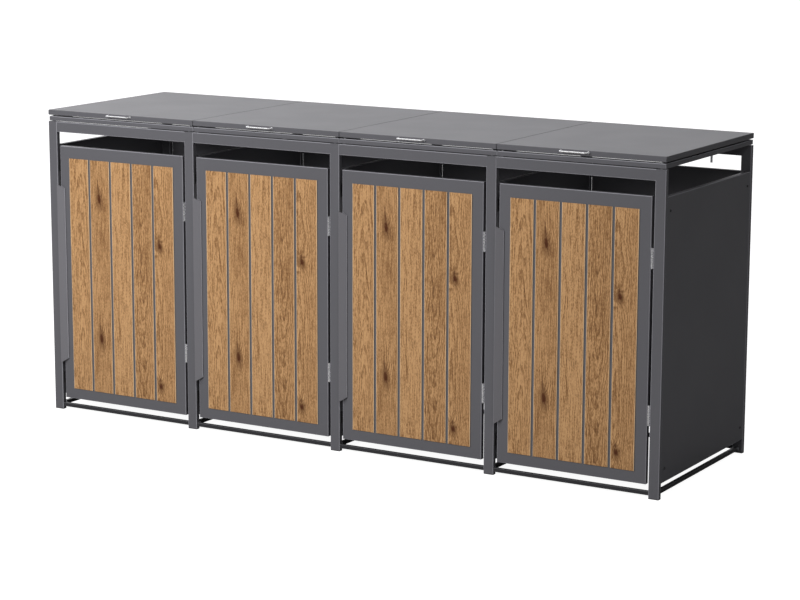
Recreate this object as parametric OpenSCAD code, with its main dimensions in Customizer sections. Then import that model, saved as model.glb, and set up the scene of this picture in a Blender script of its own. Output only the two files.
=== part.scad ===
// Refuse bin station: a row of four bays, each with a hinged front door and a hinged lid.
// X runs along the row, Y from the front to the back, Z up. All sizes are in millimetres.
// The origin is on the ground, at the centre of the station's bounding box.

/* [Station] */
// Distance from one post to the next along the row
bay_pitch = 650; // [630:5:700]
// Depth from the front of the posts to the back of the posts
station_d = 770; // [740:5:860]
// Height from the ground to the top of the lids
station_h = 1200; // [1150:5:1300]

/* [Posts and rails] */
// Width of a post's front face
post_w = 40; // [38:1:46]
// Depth of a post and of a top rail
post_d = 20; // [19:1:22]
// Wall thickness of the tubes
tube_t = 1.5; // [1:0.5:2]
// Height of a top rail
rail_h = 40; // [30:1:50]
// Side of a square floor rail
floor_rail = 15; // [13:1:16]
// Height of the floor rails above the ground
floor_rail_z = 12; // [10:1:18]
// Height of the plastic cap under each post
foot_h = 3; // [2:1:5]

/* [Panels] */
// Thickness of the folded sheet
sheet_t = 1.5; // [1:0.5:2]
// Height of the panels' lower edge above the ground
panel_z = 55; // [45:1:70]
// Width of the folds along a panel's top and bottom edges
panel_fold = 18; // [12:1:18]
// How far a panel lies behind the outer faces of the posts
panel_inset = 1; // [0.5:0.5:2]

/* [Lids and roof frames] */
// Height of a lid's rim
lid_h = 20; // [18:1:26]
// Gap between a lid and the roof frame under it
lid_gap = 5; // [4:1:6]
// Height of a roof frame's outer flange
roof_h = 17; // [16:1:22]
// Shadow gap between the roof frames and the top rails
shadow_gap = 3; // [2:1:4]
// Width of a roof frame's top flange
roof_flange = 28; // [26:1:34]
// Width of the fold under a lid's rim
lid_fold = 24; // [22:1:30]
// How far the roof frames lie inside the station's outline
roof_inset = 3; // [1:1:4]
// Gap between neighbouring lids and between neighbouring roof frames
seam = 1.6; // [1:0.2:2.4]

/* [Doors] */
// Gap between the top of a door and the top rail
vent_h = 54; // [40:1:80]
// Height of a door's lower edge above the ground
door_z = 50; // [40:1:60]
// Thickness of a door
door_t = 20; // [20:1:24]
// How far a door's face lies behind the posts' front
door_recess = 2; // [1:0.5:3]
// Gap on a door's handle side
latch_gap = 13; // [12:1:16]
// Width of the fold around the back of a door
door_fold = 25; // [15:1:32]

/* [Planks] */
// Planks on each door
plank_count = 5; // [3:1:7]
// Gap between neighbouring planks
plank_gap = 10; // [6:1:14]
// Thickness of a plank
plank_t = 3; // [2:0.5:4]
// Width of the plain border beside the planks
stile_w = 45; // [40:1:60]
// Height of the plain border above the planks
head_h = 47; // [40:1:60]
// Height of the plain border below the planks
sill_h = 42; // [36:1:60]

/* [Door grips] */
// Length of a grip along its root
grip_len = 681; // [500:1:760]
// How much further each end of the grip's free edge reaches
grip_mitre = 17; // [8:1:24]
// Height of the middle of the grips above the ground
grip_mid_z = 553; // [520:1:600]
// Distance from the door's edge to the grip's root
grip_root = 21.5; // [18:0.5:26]
// How far the grip's free edge reaches past the door's edge
grip_over = 4; // [2:0.5:6]
// How far the grip's free edge stands out from the door
grip_out = 21; // [18:1:24]

/* [Hinges] */
// Distance from a hinge's axis to the faces that its leaves lie on
hinge_off = 5.5; // [5.5:0.1:6]
// Radius of a hinge's knuckles
knuckle_r = 4.8; // [4.4:0.1:4.8]
// Radius of a hinge pin
pin_r = 2.5; // [2:0.1:3]
// Radial clearance between a pin and the moving knuckle
pin_clear = 0.05; // [0.02:0.01:0.1]
// Length of a hinge
hinge_len = 72; // [60:1:90]
// Height of the upper door hinges
hinge_top_z = 848; // [780:1:900]
// Height of the lower door hinges
hinge_low_z = 297; // [250:1:340]
// Distance of the lid hinges from the ends of a bay
lid_hinge_in = 110; // [80:1:160]

/* [Lid handles] */
// Distance between a lid handle's two legs
bow_len = 105; // [90:1:128]
// How far the middle of the bar stands out from the lid
bow_out = 17; // [15:1:32]
// Height of the bar above the middle of the rim
bow_rise = 3; // [0:0.5:4]
// Radius of the handle's bar
bow_r = 2.9; // [2.6:0.1:4]
// Radius of the handle's bends
bow_bend = 7.5; // [6:0.5:12]

/* [Hidden] */
$fn = 48;

bays = 4;
bay_list = [0 : bays - 1];
post_list = [0 : bays];

// The whole row, measured from the left end (X) and the front of the posts (Y)
total_w = bays * bay_pitch + post_w;
bay_w = bay_pitch - post_w;
front_reach = bow_out + bow_r;
back_reach = hinge_off + knuckle_r;
row_origin = [-total_w / 2, front_reach - (station_d + front_reach + back_reach) / 2, 0];
function post_x(k) = k * bay_pitch;
function bay_x(i) = post_x(i) + post_w;

// Heights, from the lids down
lid_z = station_h - lid_h;
roof_top = lid_z - lid_gap;
roof_z = roof_top - roof_h;
roof_t = 2;
frame_top = roof_z - shadow_gap;
rail_z = frame_top - rail_h;
door_top = rail_z - vent_h;
door_h = door_top - door_z;
panel_top = door_top - 1;
panel_h = panel_top - panel_z;

// Ends of the lids and roof frames of bay i; seams are in line with the posts' right faces
function cover_x0(i, inset) = i == 0 ? inset : bay_x(i) + seam / 2;
function cover_x1(i, inset) = i == bays - 1 ? total_w - inset : bay_x(i + 1) - seam / 2;

// Screws, bolts and the lugs that they fasten to
lug_t = 3;
lug_w = 40;
screw_in = 26;
screw_rise = 50;
screw_zs = [panel_z + screw_rise, panel_top - screw_rise];
screw_r = 2.6;
screw_head_r = 5.5;
screw_head_h = 2.5;
screw_len = 10;
screw_hole_r = 3.1;
lug_hole_r = 2.7;
bolt_r = 3;
bolt_hole_r = 3.2;
bolt_head_r = 5.5;
bolt_head_h = 3;
tongue_t = 3;
tongue_len = 26;
tongue_bolt_in = 14;
sleeve_r = 7;
roof_bolt_in = 20;
roof_bolt_y = 11;
roof_bolt_depth = 10;

// Doors; each hangs on the post at its right
hinge_gap = 2 * hinge_off;
door_w = bay_w - latch_gap - hinge_gap;
function door_x(i) = bay_x(i) + latch_gap;
leaf_t = 2;
leaf_clear = 4.2;
leaf_reach = 16.5;
knuckle_split = 12;
knuckle_gap = 0.3;
hinge_axis_y = 3;
function door_axis_x(i) = bay_x(i) + bay_w - hinge_off;
door_hinge_zs = [hinge_top_z, hinge_low_z];
plank_w = (door_w - 2 * stile_w - (plank_count - 1) * plank_gap) / plank_count;
plank_h = door_h - head_h - sill_h;
grip_t = 1.5;
grip_edge = 1.5;
rivet_r = 4;
rivet_h = 1.2;
rivet_zs = [for (k = [-2 : 2]) grip_mid_z + k * (grip_len / 2 - 40) / 2];

// Lids; their hinges lie along the top of the back
lid_axis_y = station_d + hinge_off;
lid_axis_z = roof_top + lid_gap / 2;
lid_leaf_clear = 4.6;
lid_leaf_reach = 19;
bow_z = lid_z + lid_h / 2 + bow_rise;
bow_hole_r = 2.7;
bow_screw_r = 2.5;
bow_rose_r = 4.4;
bow_rose_h = 1;

// Buffers halfway along the sides of each roof frame, which the lids rest on
buffer_in = 14;
buffer_y = 0.55 * station_d;
buffer_r = 7;
stud_r = 4;
stud_hole_r = 4.2;
stud_z = roof_z - 28;
nut_r = 7.5;
nut_h = 6;
function buffer_xs(i) = [cover_x0(i, roof_inset) + buffer_in, cover_x1(i, roof_inset) - buffer_in];

// Magnet catches behind the handle side of each door
catch_h = 46;
catch_t = 2.5;
catch_reach = 38;
catch_back = 34;
catch_gap = 0.4;
catch_zs = [130, 980];

// Moves row coordinates to the station's own origin
module in_row() {
    translate(row_origin) children();
}

// A box tube along one axis, open at both ends
module tube(size, along, wall) {
    across = [1, 1, 1] - along;
    difference() {
        cube(size);
        translate(wall * across - along) cube(size - 2 * wall * across + 2 * along);
    }
}

// ---- Frame ----

// An upright of box tube, open at the foot, with a bolt hole in its closed top
module post(x, y, bolt_y) {
    inner = [post_w - 2 * tube_t, post_d - 2 * tube_t, frame_top - tube_t];
    difference() {
        translate([x, y, foot_h]) cube([post_w, post_d, frame_top - foot_h]);
        translate([x + tube_t, y + tube_t, 0]) cube(inner);
        translate([x + post_w / 2, bolt_y, frame_top - 2 * tube_t]) cylinder(r = bolt_hole_r, h = 3 * tube_t);
    }
}

module front_post(k) {
    color("#5f6064") in_row() post(post_x(k), 0, roof_bolt_y);
}

module back_posts() {
    color("#505155") in_row()
        for (k = post_list) post(post_x(k), station_d - post_d, station_d - roof_bolt_y);
}

// Rails between the posts at the top; each is butted to the post at its left with a fine seam
module top_rail(i, y, bolt_y) {
    difference() {
        translate([bay_x(i) + seam / 2, y, rail_z])
            tube([bay_w - seam / 2, post_d, rail_h], [1, 0, 0], tube_t);
        translate([bay_x(i) + roof_bolt_in, bolt_y, frame_top - 2 * tube_t])
            cylinder(r = bolt_hole_r, h = 3 * tube_t);
    }
}

module top_rails() {
    color("#5f6064") in_row() for (i = bay_list) {
        top_rail(i, 0, roof_bolt_y);
        top_rail(i, station_d - post_d, station_d - roof_bolt_y);
    }
}

module floor_rails_long() {
    inset = (post_d - floor_rail) / 2;
    color("#3b3c3f") in_row()
        for (i = bay_list, y = [inset, station_d - inset - floor_rail])
            translate([bay_x(i), y, floor_rail_z]) tube([bay_w, floor_rail, floor_rail], [1, 0, 0], tube_t);
}

function tongue_bolt_ys() = [post_d + tongue_bolt_in, station_d - post_d - tongue_bolt_in];

module floor_rails_side() {
    run = station_d - 2 * post_d;
    color("#3b3c3f") in_row() for (k = post_list) {
        x = post_x(k) + (post_w - floor_rail) / 2;
        difference() {
            translate([x, post_d, floor_rail_z]) tube([floor_rail, run, floor_rail], [0, 1, 0], tube_t);
            for (y = tongue_bolt_ys())
                translate([x - 1, y, floor_rail_z + floor_rail / 2])
                    rotate([0, 90, 0]) cylinder(r = bolt_hole_r, h = floor_rail + 2);
        }
    }
}

// Caps pressed into the open feet of the posts
module foot_caps() {
    play = 0.2;
    plug = [post_w - 2 * (tube_t + play), post_d - 2 * (tube_t + play), foot_h + 16];
    color("#202022") in_row()
        for (k = post_list, y = [0, station_d - post_d]) translate([post_x(k), y, 0]) {
            cube([post_w, post_d, foot_h]);
            translate([tube_t + play, tube_t + play, 0]) cube(plug);
        }
}

// ---- Lugs welded to the posts, behind the panels and inside the side floor rails ----

// A lug behind a side panel, at the front (y = 1) or the back (y = -1)
module side_lug(x, y, end, z) {
    hole_y = end > 0 ? y + screw_in : y - screw_in;
    difference() {
        translate([x, end > 0 ? y : y - lug_w, z - lug_w / 2]) cube([lug_t, lug_w, lug_w]);
        translate([x - 1, hole_y, z]) rotate([0, 90, 0]) cylinder(r = lug_hole_r, h = lug_t + 2);
    }
}

module back_lug(x, hole_x, z) {
    y = station_d - panel_inset - sheet_t - lug_t;
    difference() {
        translate([x, y, z - lug_w / 2]) cube([lug_w, lug_t, lug_w]);
        translate([hole_x, y - 1, z]) rotate([-90, 0, 0]) cylinder(r = lug_hole_r, h = lug_t + 2);
    }
}

module rail_tongue(k, y, hole_y) {
    x = post_x(k) + (post_w - tongue_t) / 2;
    difference() {
        translate([x, y, floor_rail_z + tube_t + 1])
            cube([tongue_t, tongue_len, floor_rail - 2 * tube_t - 2]);
        translate([x - 1, hole_y, floor_rail_z + floor_rail / 2])
            rotate([0, 90, 0]) cylinder(r = bolt_hole_r, h = tongue_t + 2);
    }
}

// Inner face of the side sheet at post k; the left end panel faces left, all others right
function sheet_in_x(k) = post_x(k) + post_w - panel_inset - sheet_t;
left_sheet_in = panel_inset + sheet_t;

module post_lugs() {
    hole_ys = tongue_bolt_ys();
    color("#505155") in_row() {
        for (z = screw_zs) {
            side_lug(left_sheet_in, post_d, 1, z);
            side_lug(left_sheet_in, station_d - post_d, -1, z);
            for (k = [1 : bays]) {
                side_lug(sheet_in_x(k) - lug_t, post_d, 1, z);
                side_lug(sheet_in_x(k) - lug_t, station_d - post_d, -1, z);
            }
            for (i = bay_list) {
                back_lug(bay_x(i), bay_x(i) + screw_in, z);
                back_lug(bay_x(i) + bay_w - lug_w, bay_x(i) + bay_w - screw_in, z);
            }
        }
        for (k = post_list) {
            rail_tongue(k, post_d, hole_ys[0]);
            rail_tongue(k, station_d - post_d - tongue_len, hole_ys[1]);
        }
    }
}

// ---- Panels ----

// A sheet in the YZ plane with its face towards +X at x = 0 and folds along top and bottom
module side_sheet() {
    play = 0.5;
    run = station_d - 2 * (post_d + play);
    translate([0, post_d + play, panel_z]) difference() {
        union() {
            translate([-sheet_t, 0, 0]) cube([sheet_t, run, panel_h]);
            for (z = [0, panel_h - sheet_t]) translate([-panel_fold, 0, z]) cube([panel_fold, run, sheet_t]);
        }
        for (y = [screw_in - play, run - screw_in + play], z = screw_zs)
            translate([-sheet_t - 1, y, z - panel_z])
                rotate([0, 90, 0]) cylinder(r = screw_hole_r, h = sheet_t + 2);
    }
}

module side_panel_left() {
    color("#3c3d40") in_row() translate([panel_inset, 0, 0]) mirror([1, 0, 0]) side_sheet();
}

module right_facing_panel(k) {
    color("#3c3d40") in_row() translate([post_x(k) + post_w - panel_inset, 0, 0]) side_sheet();
}

module back_panel(i) {
    play = 0.5;
    run = bay_w - 2 * play;
    color("#3c3d40") in_row() translate([bay_x(i) + play, station_d - panel_inset, panel_z]) difference() {
        union() {
            translate([0, -sheet_t, 0]) cube([run, sheet_t, panel_h]);
            for (z = [0, panel_h - sheet_t]) translate([0, -panel_fold, z]) cube([run, panel_fold, sheet_t]);
        }
        for (x = [screw_in - play, run - screw_in + play], z = screw_zs)
            translate([x, -sheet_t - 1, z - panel_z])
                rotate([-90, 0, 0]) cylinder(r = screw_hole_r, h = sheet_t + 2);
    }
}

// A round-headed screw pointing towards -Z, its head's underside at z = 0
module screw() {
    cylinder(r1 = screw_head_r, r2 = screw_head_r - 2, h = screw_head_h);
    translate([0, 0, -screw_len]) cylinder(r = screw_r, h = screw_len + 1);
}

module panel_screws() {
    side_ys = [post_d + screw_in, station_d - post_d - screw_in];
    color("#1c1c1e") in_row() for (z = screw_zs) {
        for (y = side_ys) {
            translate([panel_inset, y, z]) rotate([0, -90, 0]) screw();
            for (k = [1 : bays]) translate([post_x(k) + post_w - panel_inset, y, z]) rotate([0, 90, 0]) screw();
        }
        for (i = bay_list, x = [bay_x(i) + screw_in, bay_x(i) + bay_w - screw_in])
            translate([x, station_d - panel_inset, z]) rotate([-90, 0, 0]) screw();
    }
}

// ---- Roof frames ----

// Where roof frame i is bolted down: on the posts, or on the rail next to a shared post
function roof_bolt_xs(i) = [
    i == 0 ? post_w / 2 : bay_x(i) + roof_bolt_in,
    post_x(i + 1) + post_w / 2
];
roof_bolt_ys = [roof_bolt_y, station_d - roof_bolt_y];

// An open rim of angle section on four spacer sleeves
module roof_frame(i) {
    x0 = cover_x0(i, roof_inset);
    size = [cover_x1(i, roof_inset) - x0, station_d - roof_inset, roof_h];
    color("#5f6064") in_row() difference() {
        union() {
            translate([x0, roof_inset, roof_z]) difference() {
                cube(size);
                translate([roof_t, roof_t, -1]) cube([size[0] - 2 * roof_t, size[1] - 2 * roof_t, roof_h - roof_t + 1]);
                translate([roof_flange, roof_flange, 0])
                    cube([size[0] - 2 * roof_flange, size[1] - 2 * roof_flange, roof_h + 1]);
            }
            for (x = roof_bolt_xs(i), y = roof_bolt_ys)
                translate([x, y, frame_top]) cylinder(r = sleeve_r, h = roof_top - frame_top - roof_t / 2);
        }
        for (x = roof_bolt_xs(i), y = roof_bolt_ys)
            translate([x, y, frame_top - 1]) cylinder(r = bolt_hole_r, h = roof_top - frame_top + 2);
        for (x = buffer_xs(i))
            translate([x, buffer_y, roof_z]) cylinder(r = stud_hole_r, h = roof_h + 1);
    }
}

// Bolts through the roof frames into the posts and rails, and across the side floor rails
module frame_bolts() {
    roof_grip = roof_top - frame_top + roof_bolt_depth;
    rail_grip = floor_rail + 2;
    color("#b4b6b9") in_row() {
        for (i = bay_list, x = roof_bolt_xs(i), y = roof_bolt_ys) translate([x, y, roof_top]) {
            cylinder(r = bolt_head_r, h = bolt_head_h, $fn = 6);
            translate([0, 0, -roof_grip]) cylinder(r = bolt_r, h = roof_grip + 1);
        }
        for (k = post_list, y = tongue_bolt_ys())
            translate([post_x(k) + (post_w + floor_rail) / 2, y, floor_rail_z + floor_rail / 2])
                rotate([0, 90, 0]) {
                    cylinder(r = bolt_head_r, h = bolt_head_h);
                    translate([0, 0, -rail_grip]) cylinder(r = bolt_r, h = rail_grip + 1);
                    translate([0, 0, -floor_rail - bolt_head_h]) cylinder(r = bolt_head_r, h = bolt_head_h, $fn = 6);
                }
    }
}

module lid_buffer_pads() {
    color("#161617") in_row() for (i = bay_list, x = buffer_xs(i))
        translate([x, buffer_y, roof_top]) cylinder(r = buffer_r, h = lid_gap);
}

// Threaded studs under the buffers, each with its nut against the underside of the flange
module lid_buffer_studs() {
    color("#8d8f92") in_row() for (i = bay_list, x = buffer_xs(i)) translate([x, buffer_y, 0]) {
        translate([0, 0, stud_z]) cylinder(r = stud_r, h = roof_top - stud_z);
        translate([0, 0, roof_top - roof_t - nut_h]) cylinder(r = nut_r, h = nut_h, $fn = 6);
    }
}

// ---- Hinges ----

// The leaf and knuckle webs of a hinge about Z, on the -X side and running towards +Y
module hinge_leaf(clear, reach, spans) {
    translate([-hinge_off, clear, -hinge_len / 2]) cube([leaf_t, reach - clear, hinge_len]);
    for (s = spans) {
        translate([-hinge_off, 0, s[0]]) cube([leaf_t, clear + 1, s[1] - s[0]]);
        translate([0, 0, s[0]]) cylinder(r = knuckle_r, h = s[1] - s[0]);
    }
}

// The half that turns, with one knuckle bored for the pin
module hinge_moving(clear, reach) {
    difference() {
        hinge_leaf(clear, reach, [[-knuckle_split, knuckle_split]]);
        translate([0, 0, -hinge_len]) cylinder(r = pin_r + pin_clear, h = 2 * hinge_len);
    }
}

// The half that stays, with two knuckles and the pin fast in them
module hinge_fixed(clear, reach) {
    split = knuckle_split + knuckle_gap;
    hinge_leaf(clear, reach, [[-hinge_len / 2, -split], [split, hinge_len / 2]]);
    translate([0, 0, -hinge_len / 2]) cylinder(r = pin_r, h = hinge_len);
}

module door_hinge_post_leaves() {
    color("#b9bbbe") in_row() for (i = bay_list, z = door_hinge_zs)
        translate([door_axis_x(i), hinge_axis_y, z]) mirror([1, 0, 0]) hinge_fixed(leaf_clear, leaf_reach);
}

module door_hinge_leaf(i) {
    color("#b9bbbe") in_row() for (z = door_hinge_zs)
        translate([door_axis_x(i), hinge_axis_y, z]) hinge_moving(leaf_clear, leaf_reach);
}

// Turns a hinge about Z into one about X whose leaf runs up the back of the station
module lid_hinge_places(i) {
    for (x = [bay_x(i) + lid_hinge_in, bay_x(i) + bay_w - lid_hinge_in])
        translate([x, lid_axis_y, lid_axis_z]) multmatrix([[0, 0, 1, 0], [1, 0, 0, 0], [0, 1, 0, 0], [0, 0, 0, 1]])
            children();
}

module lid_hinge_frame_leaves() {
    color("#b9bbbe") in_row() for (i = bay_list)
        lid_hinge_places(i) mirror([0, 1, 0]) hinge_fixed(lid_leaf_clear, lid_leaf_reach);
}

module lid_hinge_leaf(i) {
    color("#b9bbbe") in_row() lid_hinge_places(i) hinge_moving(lid_leaf_clear, lid_leaf_reach);
}

// Catches on the posts, whose magnets hold the handle side of each door
module magnet_catches() {
    plate_y = 4;
    block_y = door_recess + door_t + catch_gap;
    color("#1d1d1f") in_row() for (i = bay_list, z = catch_zs) translate([bay_x(i), 0, z - catch_h / 2]) {
        translate([0, plate_y, 0]) cube([catch_t, catch_back - plate_y, catch_h]);
        translate([0, block_y, 0]) cube([catch_reach, catch_back - block_y, catch_h]);
    }
}

// ---- Doors ----

// A folded steel tray, open at the back inside its folds
module door_shell(i) {
    color("#5f6064") in_row() translate([door_x(i), door_recess, door_z]) difference() {
        cube([door_w, door_t, door_h]);
        translate([sheet_t, sheet_t, sheet_t]) cube([door_w, door_t, door_h] - 2 * sheet_t * [1, 1, 1]);
        translate([door_fold, door_t / 2, door_fold]) cube([door_w - 2 * door_fold, door_t, door_h - 2 * door_fold]);
    }
}

module door_planks(i) {
    color("#b98d5a") in_row() for (k = [0 : plank_count - 1])
        translate([door_x(i) + stile_w + k * (plank_w + plank_gap), door_recess - plank_t, door_z + sill_h])
            cube([plank_w, plank_t, plank_h]);
}

// Cross-section of a grip: a flange flat on the door and a lip folded back over it
module grip_section() {
    run = grip_root + grip_over;
    reach = norm([run, grip_out]);
    back = grip_t * [-grip_out, run] / reach;
    fold = grip_t * (run + reach) / grip_out;
    polygon([
        [grip_edge, 0],
        [grip_root, 0],
        [-grip_over, -grip_out],
        [-grip_over, -grip_out] + back,
        [grip_root - fold, -grip_t],
        [grip_edge, -grip_t]
    ]);
}

// The grip's outline from the front, with its free edge longer than its root
module grip_outline() {
    slope = grip_mitre / (grip_root + grip_over);
    left = -grip_over - 2;
    right = grip_root + 1;
    function half(x) = grip_len / 2 + (grip_root - x) * slope;
    polygon([[left, -half(left)], [right, -half(right)], [right, half(right)], [left, half(left)]]);
}

module door_grip(i) {
    flange_mid = (grip_edge + grip_root - 2 * grip_t) / 2;
    color("#707176") in_row() {
        translate([door_x(i), door_recess, grip_mid_z]) intersection() {
            translate([0, 0, -grip_len]) linear_extrude(2 * grip_len) grip_section();
            translate([0, 1, 0]) rotate([90, 0, 0]) linear_extrude(grip_out + 2) grip_outline();
        }
        for (z = rivet_zs)
            translate([door_x(i) + flange_mid - 2, door_recess - grip_t + 0.5, z])
                rotate([90, 0, 0]) cylinder(r = rivet_r, h = rivet_h + 0.5);
    }
}

// ---- Lids ----

// A folded steel cover with a turned-in fold under its rim
module lid_shell(i) {
    x0 = cover_x0(i, 0);
    size = [cover_x1(i, 0) - x0, station_d, lid_h];
    color("#77787c") in_row() difference() {
        translate([x0, 0, lid_z]) difference() {
            cube(size);
            translate(sheet_t * [1, 1, 1]) cube(size - 2 * sheet_t * [1, 1, 1]);
            translate([lid_fold, lid_fold, -1]) cube([size[0] - 2 * lid_fold, size[1] - 2 * lid_fold, lid_h / 2]);
        }
        for (x = bow_xs(i))
            translate([x, -1, bow_z]) rotate([-90, 0, 0]) cylinder(r = bow_hole_r, h = sheet_t + 2);
    }
}

function bow_xs(i) = [for (s = [-1, 1]) bay_x(i) + (bay_w + s * bow_len) / 2];

// One leg of a lid handle, from the screw head behind the rim to the bend
module bow_leg(x, side) {
    translate([x, 0, bow_z]) {
        rotate([90, 0, 0]) cylinder(r = bow_r, h = bow_out - bow_bend);
        rotate([90, 0, 0]) cylinder(r1 = bow_rose_r, r2 = bow_r + 0.8, h = bow_rose_h);
        rotate([-90, 0, 0]) cylinder(r = bow_screw_r, h = sheet_t + 1);
        translate([0, sheet_t, 0]) rotate([-90, 0, 0]) cylinder(r = bow_rose_r, h = bow_rose_h * 2.5);
        translate([side * bow_bend, bow_bend - bow_out, 0]) rotate([0, 0, side > 0 ? 180 : 270])
            rotate_extrude(angle = 90) translate([bow_bend, 0]) circle(r = bow_r);
    }
}

module lid_handle(i) {
    xs = bow_xs(i);
    color("#d8dadd") in_row() {
        bow_leg(xs[0], 1);
        bow_leg(xs[1], -1);
        translate([xs[0] + bow_bend, -bow_out, bow_z])
            rotate([0, 90, 0]) cylinder(r = bow_r, h = bow_len - 2 * bow_bend);
    }
}

front_post(0);  // front_post_1
front_post(1);  // front_post_2
front_post(2);  // front_post_3
front_post(3);  // front_post_4
front_post(4);  // front_post_5
back_posts();
top_rails();
floor_rails_long();
floor_rails_side();
foot_caps();
post_lugs();
roof_frame(0);  // roof_frame_1
roof_frame(1);  // roof_frame_2
roof_frame(2);  // roof_frame_3
roof_frame(3);  // roof_frame_4
side_panel_left();
right_facing_panel(4);  // side_panel_right
right_facing_panel(1);  // partition_panel_1
right_facing_panel(2);  // partition_panel_2
right_facing_panel(3);  // partition_panel_3
back_panel(0);  // back_panel_1
back_panel(1);  // back_panel_2
back_panel(2);  // back_panel_3
back_panel(3);  // back_panel_4
panel_screws();
frame_bolts();
lid_buffer_pads();
lid_buffer_studs();
magnet_catches();
door_hinge_post_leaves();
lid_hinge_frame_leaves();
door_shell(0);  // door_shell_1
door_shell(1);  // door_shell_2
door_shell(2);  // door_shell_3
door_shell(3);  // door_shell_4
door_planks(0);  // door_planks_1
door_planks(1);  // door_planks_2
door_planks(2);  // door_planks_3
door_planks(3);  // door_planks_4
door_grip(0);  // door_grip_1
door_grip(1);  // door_grip_2
door_grip(2);  // door_grip_3
door_grip(3);  // door_grip_4
door_hinge_leaf(0);  // door_hinge_leaf_1
door_hinge_leaf(1);  // door_hinge_leaf_2
door_hinge_leaf(2);  // door_hinge_leaf_3
door_hinge_leaf(3);  // door_hinge_leaf_4
lid_shell(0);  // lid_shell_1
lid_shell(1);  // lid_shell_2
lid_shell(2);  // lid_shell_3
lid_shell(3);  // lid_shell_4
lid_handle(0);  // lid_handle_1
lid_handle(1);  // lid_handle_2
lid_handle(2);  // lid_handle_3
lid_handle(3);  // lid_handle_4
lid_hinge_leaf(0);  // lid_hinge_leaf_1
lid_hinge_leaf(1);  // lid_hinge_leaf_2
lid_hinge_leaf(2);  // lid_hinge_leaf_3
lid_hinge_leaf(3);  // lid_hinge_leaf_4
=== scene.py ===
"""Looks for a four-bay refuse bin station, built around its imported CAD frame.

Everything is in metres in the frame's own coordinates: X along the row, Y to the back, Z up.
"""

import math

import bmesh
import bpy
from mathutils import Euler, Matrix, Vector


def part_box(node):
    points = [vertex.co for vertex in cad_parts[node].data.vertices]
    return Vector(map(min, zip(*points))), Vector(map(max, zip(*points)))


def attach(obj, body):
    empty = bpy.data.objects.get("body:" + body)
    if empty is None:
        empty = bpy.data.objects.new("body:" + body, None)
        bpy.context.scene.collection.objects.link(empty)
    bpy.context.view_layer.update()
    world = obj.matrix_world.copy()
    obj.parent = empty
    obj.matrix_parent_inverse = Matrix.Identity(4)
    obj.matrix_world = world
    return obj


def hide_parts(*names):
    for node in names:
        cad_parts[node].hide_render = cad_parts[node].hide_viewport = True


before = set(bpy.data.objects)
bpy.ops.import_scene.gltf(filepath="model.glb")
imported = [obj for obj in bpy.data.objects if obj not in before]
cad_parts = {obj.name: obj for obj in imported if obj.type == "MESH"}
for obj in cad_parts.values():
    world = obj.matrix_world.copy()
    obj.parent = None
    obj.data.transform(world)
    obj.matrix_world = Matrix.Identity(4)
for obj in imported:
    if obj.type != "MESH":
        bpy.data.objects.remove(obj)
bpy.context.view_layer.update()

MM = 0.001
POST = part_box("front_post_1")[1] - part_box("front_post_1")[0]  # width, depth and height
BAYS = (1, 2, 3, 4)
POSTS = (1, 2, 3, 4, 5)
PARTITIONS = (1, 2, 3)
PLANKS = (1, 2, 3, 4, 5)


# ---- Node-tree helpers ----


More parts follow.
